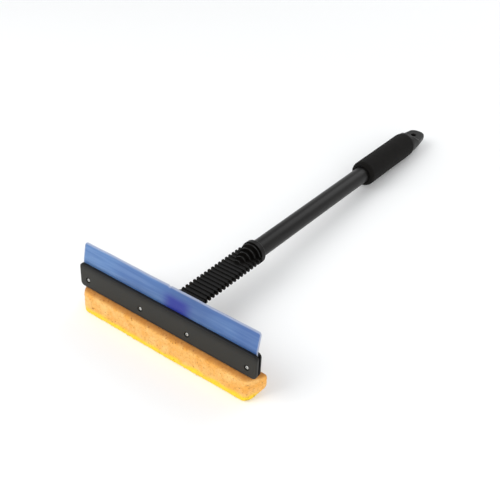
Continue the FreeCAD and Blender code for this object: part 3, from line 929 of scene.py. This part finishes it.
@dataclass
class RubberBlade:
    """The wiping blade: clamped upright, then leaning back to its cut lip.

    Sizes in metres, in the tool's directions.
    """

    axes: ToolAxes
    face: float = 3.6 * MM
    thickness: float = 1.8 * MM
    foot: float = -12.0 * MM
    bend: float = 15.5 * MM
    top: float = 38.0 * MM
    lean: float = 0.2
    ease: float = 2.2 * MM
    ripple: float = 0.16 * MM
    half_length: float = 117.0 * MM
    corner: float = 3.0 * MM
    lip_round: float = 0.4 * MM
    nick_place: float = 3.0 * MM
    nick_width: float = 1.5 * MM
    nick_depth: float = 0.9 * MM
    # Painted shade where the neck's foot shows through the blade: its middle and half width.
    painted_shade_place: float = 15.0 * MM
    painted_shade_half: float = 17.0 * MM
    rows: int = 64

    def lengthwise(self) -> np.ndarray:
        """Places along the blade, closer together at its ends and round the nick."""
        even = np.linspace(-self.half_length, self.half_length, 236)
        turn = np.linspace(0.0, math.pi / 2, 12)
        end = self.half_length - self.corner * (1.0 - np.sin(turn))
        nick = self.nick_place + np.linspace(-4.0, 4.0, 33) * MM
        return np.unique(np.round(np.concatenate((even, end, -end, nick)), 6))

    def lip(self, x: np.ndarray) -> np.ndarray:
        """Height of the wiping edge, which drops round the two corners and in the nick.

        Args:
            x: Places along the head.

        Returns:
            One height per place.
        """
        into = np.clip(np.abs(x) - (self.half_length - self.corner), 0.0, self.corner)
        rounded = self.corner - np.sqrt(np.maximum(self.corner ** 2 - into ** 2, 0.0))
        dent = self.nick_depth * np.exp(-((x - self.nick_place) / self.nick_width) ** 4)
        return self.top - rounded - dent

    def middle(self, x: np.ndarray, z: np.ndarray) -> np.ndarray:
        """Where the middle of the thickness stands.

        It leans back by the lean times the height above the bend, eased at the bend, and the
        free part waves slightly as the sum of two sines along the head.

        Args:
            x: Places along the head.
            z: Heights.

        Returns:
            Places along the handle.
        """
        leant = self.lean * self.ease * np.logaddexp(0.0, (z - self.bend) / self.ease)
        wave = np.sin(x / MM * 0.071 + 0.4) + 0.6 * np.sin(x / MM * 0.163 + 2.0)
        wave = self.ripple * wave * smooth_step(self.bend, self.top, z)
        return self.face + self.thickness / 2 + leant + wave

    def shades(self, x: np.ndarray, z: np.ndarray) -> dict[str, np.ndarray]:
        """The pale cut edges, partly a painted highlight, and the painted shade of the neck's foot.

        Args:
            x: Places along the head.
            z: Heights.

        Returns:
            Numbers per point of one face, by attribute name.
        """
        # The pale lip and ends: partly the cut vinyl, partly a painted highlight where light
        # catches them.
        cut = np.maximum(
            1.0 - smooth_step(0.4 * MM, 1.9 * MM, self.lip(x) - z),
            1.0 - smooth_step(0.2 * MM, 1.2 * MM, self.half_length - np.abs(x)))
        # Painted shade where the neck's foot is seen through the blade.
        patch = np.exp(-((x - self.painted_shade_place) / self.painted_shade_half) ** 4)
        patch = patch * (1.0 - smooth_step(self.bend + 9.0 * MM, self.top - 5.0 * MM, z))
        return {"lip": cut, "painted_neck_shade": patch}

    def surface(self) -> tuple[np.ndarray, dict[str, np.ndarray]]:
        """The blade's two faces as one closed outline, carried along the head.

        A row's height runs from the foot to the lip, and the thickness is rounded off over
        the last of the height.

        Returns:
            The grid of points in the row frame, and numbers per point by attribute name.
        """
        x = self.lengthwise()[:, None]
        lip = self.lip(x)
        share = np.linspace(0.0, 1.0, self.rows)[None, :]
        share = share + 0.06 * np.sin(share * math.pi) ** 2
        share = share / share.max()
        z = self.foot + (lip - self.foot) * share
        from_lip = np.clip((lip - z) / self.lip_round, 0.0, 1.0)
        half = self.thickness / 2 * (0.6 + 0.4 * np.sqrt(1.0 - (1.0 - from_lip) ** 2))
        middle = self.middle(x, z)
        wide = np.broadcast_to(x, z.shape)
        front = np.stack((wide, middle - half, z), axis=-1)
        back = np.stack((wide, middle + half, z), axis=-1)
        points = np.concatenate((front, back[:, ::-1]), axis=1)
        values = {key: np.concatenate((value, value[:, ::-1]), axis=1)
                  for key, value in self.shades(x, z).items()}
        return self.axes.place(points), values

    def build(self, finish: BladeRubber) -> None:
        """Makes the blade and puts it in its CAD node's place.

        Args:
            finish: The blade's finish.
        """
        points, values = self.surface()
        rings, around = points.shape[:2]
        faces = ring_faces(rings, around).tolist()
        # Each end is closed by quads between the front face's rows and the back face's.
        row = np.arange(self.rows - 1)
        end = np.stack((row, row + 1, around - 2 - row, around - 1 - row), axis=1)
        faces += end.tolist() + (end[:, ::-1] + (rings - 1) * around).tolist()
        obj = make_object("rubber_blade", points, faces, values, sharp=math.radians(35))
        adopt(obj, "squeegee_blade", finish.material())


@dataclass
class FoamSleeve:
    """The foam grip: a ring-shaped skin round the tube, slightly uneven from the grinding.

    Sizes in metres, along the handle.
    """

    axes: ToolAxes
    start: float = 397.5 * MM
    end: float = 515.0 * MM
    bore: float = 11.05 * MM
    outer: float = 17.2 * MM
    nose: float = 5.2 * MM
    tail: float = 4.0 * MM
    bore_round: float = 0.3 * MM
    ground_off: float = 0.14 * MM
    cells: PoreSize = PoreSize(2.6 * MM, 0.6 * MM, 1.1 * MM, 0.55, 7.0, 0.16 * MM)
    around: int = 176
    along: int = 290

    def surface(self) -> np.ndarray:
        """The sleeve's skin: a rounded four-sided outline turned round the handle's axis.

        Returns:
            The grid of points in the row frame, one ring per outline point.
        """
        corners = ((self.start, self.bore), (self.end, self.bore), (self.end, self.outer),
                   (self.start, self.outer))
        radii = (self.bore_round, self.bore_round, self.tail, self.nose)
        outline = rounded_outline(corners, radii, self.along)
        angle = np.linspace(0.0, 2 * math.pi, self.around, endpoint=False)
        radius = outline[:, 1][:, None]
        points = np.stack((radius * np.cos(angle), np.broadcast_to(outline[:, 0][:, None],
                           (self.along, self.around)), radius * np.sin(angle)), axis=-1)
        skin = smooth_step(self.bore, self.outer - 2 * MM, radius)
        uneven = 0.16 * MM * swell(points, 24 * MM, 2.7) + 0.07 * MM * swell(points, 6 * MM, 5.2)
        cut = self.cells.depth * self.cells.field(points)
        shift = skin * (uneven - self.ground_off - cut)
        outward = np.stack((np.cos(angle), np.zeros_like(angle), np.sin(angle)), axis=-1)
        return self.axes.place(points + shift[..., None] * outward)

    def build(self, finish: GripFoam) -> None:
        """Makes the sleeve and puts it in its CAD node's place.

        Args:
            finish: The foam's finish.
        """
        points = self.surface()
        closed = np.concatenate((points, points[:1]), axis=0)
        faces = ring_faces(*closed.shape[:2]) % (points.shape[0] * points.shape[1])
        obj = make_object("foam_sleeve", points, faces[:, ::-1].tolist())
        adopt(obj, "foam_grip", finish.material())


@dataclass
class Head:
    """The moulded head: two bars, the strip between them and the screws that close them."""

    # The clamp bar gets painted shade along its top edge.
    bar: MouldedPlastic = MouldedPlastic("moulded_abs_clamp_bar", "282825", "302F2B", 0.46,
                                         painted_shade_heights=(37.0 * MM, 43.0 * MM))
    neck: MouldedPlastic = MouldedPlastic("moulded_polypropylene_neck", "080706", "100E0C", 0.4)
    strip: MouldedPlastic = MouldedPlastic("extruded_polystyrene_strip", "8A8A84", "96968F", 0.5)
    screws: PlatedSteel = PlatedSteel()

    def build(self) -> None:
        """Dresses the head's CAD nodes."""
        dress("front_clamp_bar", self.bar.material())
        dress("rear_head_moulding", self.neck.material())
        dress("sponge_carrier_strip", self.strip.material())
        steel = self.screws.material()
        dress("clamp_screws", steel)
        dress("tube_lock_screw", steel)


@dataclass
class Handle:
    """The painted tube and the moulded cap that closes it."""

    paint: PaintedTube = PaintedTube()
    cap: MouldedPlastic = MouldedPlastic("moulded_polyethylene_cap", "090807", "12100D", 0.38)

    def build(self) -> None:
        """Dresses the handle's CAD nodes."""
        dress("handle_tube", self.paint.material())
        dress("hanging_end_cap", self.cap.material())


# ---------------------------------------------------------------------------------------------
# Studio
# ---------------------------------------------------------------------------------------------


@dataclass(frozen=True)
class SoftBox:
    """A square soft light that faces the tool: its place and side in metres, its power."""

    name: str
    place: tuple[float, float, float]
    side: float
    watts: float

    def build(self) -> None:
        """Makes the light."""
        lamp = bpy.data.lights.new(self.name, "AREA")
        lamp.shape, lamp.size, lamp.energy = "SQUARE", self.side, self.watts
        obj = bpy.data.objects.new(self.name, lamp)
        obj.location = self.place
        obj.rotation_mode = "QUATERNION"
        obj.rotation_quaternion = Vector(self.place).to_track_quat("Z", "Y")
        bpy.context.scene.collection.objects.link(obj)


@dataclass
class Studio:
    """A pale floor, a bright surround and three soft lights."""

    floor_half: float = 6.0
    floor_colour: str = "F7F7F6"
    fibre: float = 3 * MM
    relief: float = 0.02 * MM
    surround: float = 0.95
    horizon: str = "FFFFFF"
    overhead: str = "B9BCC0"
    lights: tuple[SoftBox, ...] = (
        SoftBox("key_light", (-0.9, -1.3, 1.5), 1.6, 24.0),
        SoftBox("fill_light", (1.5, -0.9, 0.9), 1.6, 13.0),
        SoftBox("back_light", (0.3, 1.6, 1.3), 1.4, 10.0),
    )

    def floor(self) -> None:
        """Lays the floor just under the tool."""
        rim = self.floor_half
        corners = np.array(((-rim, -rim, 0.0), (rim, -rim, 0.0), (rim, rim, 0.0), (-rim, rim, 0.0)))
        obj = make_object(Stage.FLOOR.value, corners, [(0, 1, 2, 3)])
        material, tree = new_material("matt_studio_paper")
        where = add_node(tree, "TexCoord").outputs["Object"]
        fibre = noise(tree, where, self.fibre, detail=2.0)
        finish_surface(tree, {"Base Color": linear(self.floor_colour), "Roughness": 0.9,
                              "Specular IOR Level": 0.1,
                              "Normal": bump(tree, fibre, self.relief)})
        obj.data.materials.append(material)

    def sky(self) -> None:
        """A white surround, a little darker overhead than at eye level."""
        world = bpy.data.worlds.new("studio_surround")
        bpy.context.scene.world = world
        world.use_nodes = True
        tree = world.node_tree
        tree.nodes.clear()
        up = add_node(tree, "SeparateXYZ", {0: add_node(tree, "TexCoord").outputs["Generated"]})
        height = spread(tree, up.outputs["Z"], (0.0, 0.9), (0.0, 1.0))
        tone = mix_colour(tree, height, linear(self.horizon), linear(self.overhead))
        shade = add_node(tree, "Background", {"Color": tone, "Strength": self.surround})
        add_node(tree, "OutputWorld", {"Surface": shade.outputs[0]})

    def build(self) -> None:
        """Sets up the floor, the surround and the lights."""
        self.floor()
        self.sky()
        for light in self.lights:
            light.build()


@dataclass
class Camera:
    """The camera: where it stands and how it is turned."""

    place: tuple[float, float, float] = (0.45725, -0.74539, 0.62679)
    azimuth: float = 36.5068
    elevation: float = 37.1409
    roll: float = 1.0212
    lens: float = 61.07
    sensor: float = 36.0

    def build(self) -> None:
        """Makes the camera and hands it to the scene."""
        a, e, r = (math.radians(v) for v in (self.azimuth, self.elevation, self.roll))
        back = Vector((math.sin(a) * math.cos(e), -math.cos(a) * math.cos(e), math.sin(e)))
        right = Vector((0.0, 0.0, 1.0)).cross(back).normalized()
        up = back.cross(right)
        rolled = right * math.cos(r) + up * math.sin(r)
        over = back.cross(rolled)
        turn = Matrix((rolled, over, back)).transposed()
        data = bpy.data.cameras.new(Stage.CAMERA.value)
        data.lens, data.sensor_width = self.lens, self.sensor
        data.clip_start, data.clip_end = 0.01, 50.0
        obj = bpy.data.objects.new(Stage.CAMERA.value, data)
        obj.location = self.place
        obj.rotation_mode = "QUATERNION"
        obj.rotation_quaternion = turn.to_quaternion()
        bpy.context.scene.collection.objects.link(obj)
        bpy.context.scene.camera = obj


def main() -> None:
    """Builds the tool piece by piece, then the studio."""
    logging.basicConfig(level=logging.INFO, format="%(name)s %(message)s")
    bpy.context.scene.view_settings.view_transform = "Standard"
    axes = ToolAxes.from_tube("handle_tube")
    Head().build()
    Handle().build()
    Sponge(axes).build(CelluloseSponge())
    RubberBlade(axes).build(BladeRubber())
    FoamSleeve(axes).build(GripFoam())
    Studio().build()
    Camera().build()


if __name__ == "__main__":
    main()
